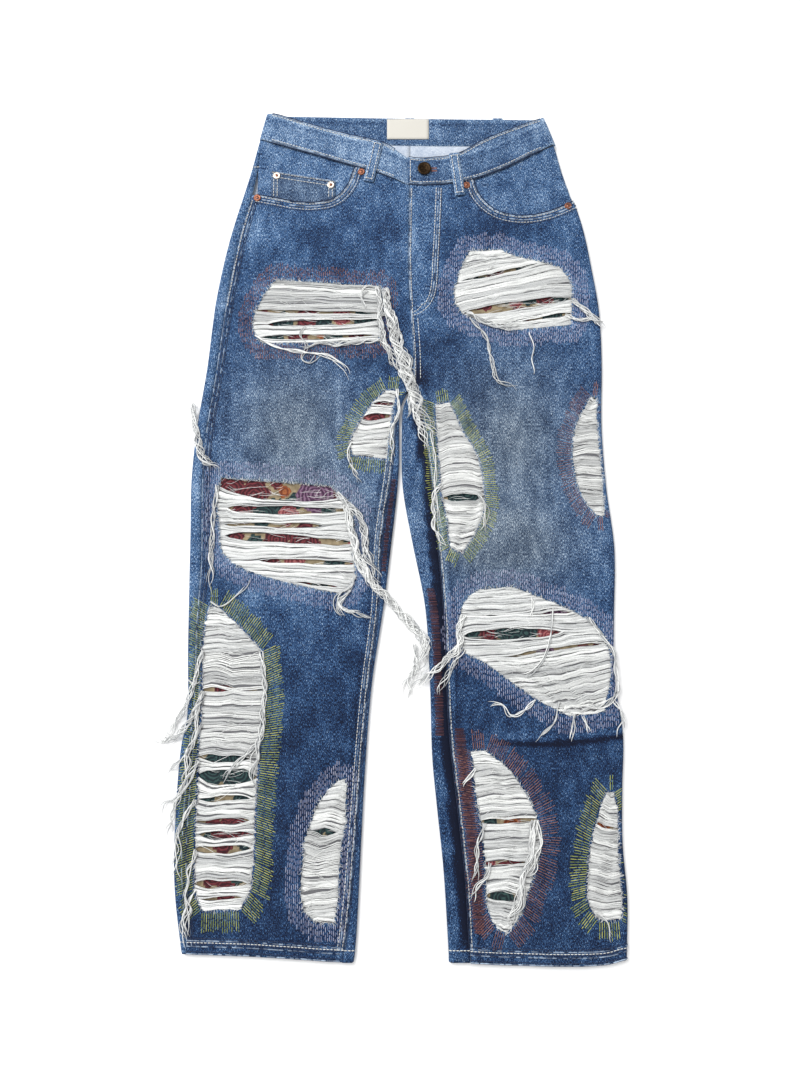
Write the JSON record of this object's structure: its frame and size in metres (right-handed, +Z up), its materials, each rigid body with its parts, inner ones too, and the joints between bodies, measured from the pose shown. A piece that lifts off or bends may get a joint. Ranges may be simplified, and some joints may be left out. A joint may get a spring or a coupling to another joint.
{
  "type": "ripped jeans",
  "caption": "Distressed five-pocket jeans laid flat, with rips over floral tapestry patches, hanging weft threads and coloured stitching.",
  "frame": {"origin": "centre of the box, on the surface that the jeans lie on", "axes": "+Y toward the waist, -Y toward the hems, +X toward the wearer's left, +Z up from the front"},
  "size_m": [0.5301, 1.0155, 0.0125],
  "materials": {
    "denim": "washed blue twill",
    "denim_dark": "shaded blue twill",
    "white_weft": "frayed white cotton yarn",
    "tapestry": "woven floral tapestry",
    "label": "plain woven tape",
    "copper_rivet": "copper",
    "dark_button": "darkened metal"
  },
  "bodies": {
    "root": {"back_left": "denim", "back_pocket_left": "denim", "back_pocket_right": "denim", "back_right": "denim", "belt_loop_back_centre": "denim", "belt_loop_back_left": "denim", "belt_loop_back_right": "denim", "belt_loop_front_left": "denim", "belt_loop_front_right": "denim", "button": "dark_button", "coin_pocket": "denim", "fly_shield": "denim_dark", "fringe_left_knee": "white_weft", "fringe_left_knee_low": "white_weft", "fringe_left_shin": "white_weft", "fringe_left_thigh": "white_weft", "fringe_left_thigh_low": "white_weft", "fringe_right_knee": "white_weft", "fringe_right_outer": "white_weft", "fringe_right_shin": "white_weft", "fringe_right_thigh": "white_weft", "fringe_right_thigh_low": "white_weft", "front_left": "denim", "front_right": "denim", "inner_label": "label", "patch_left_ankle": "tapestry", "patch_left_inner_thigh": "tapestry", "patch_left_knee": "tapestry", "patch_left_outer_thigh": "tapestry", "patch_left_shin": "tapestry", "patch_left_thigh": "tapestry", "patch_right_ankle": "tapestry", "patch_right_inner_thigh": "tapestry", "patch_right_knee": "tapestry", "patch_right_shin": "tapestry", "patch_right_thigh": "tapestry", "pocket_facing_left": "denim_dark", "pocket_facing_right": "denim_dark", "rivet_coin_inner": "copper_rivet", "rivet_coin_outer": "copper_rivet", "rivet_left_inner": "copper_rivet", "rivet_left_outer": "copper_rivet", "rivet_right_inner": "copper_rivet", "rivet_right_outer": "copper_rivet", "waistband": "denim", "weft_left_ankle": "white_weft", "weft_left_inner_thigh": "white_weft", "weft_left_knee": "white_weft", "weft_left_outer_thigh": "white_weft", "weft_left_shin": "white_weft", "weft_left_thigh": "white_weft", "weft_right_ankle": "white_weft", "weft_right_inner_thigh": "white_weft", "weft_right_knee": "white_weft", "weft_right_shin": "white_weft", "weft_right_thigh": "white_weft", "yoke_left": "denim", "yoke_right": "denim"}
  },
  "joints": []
}
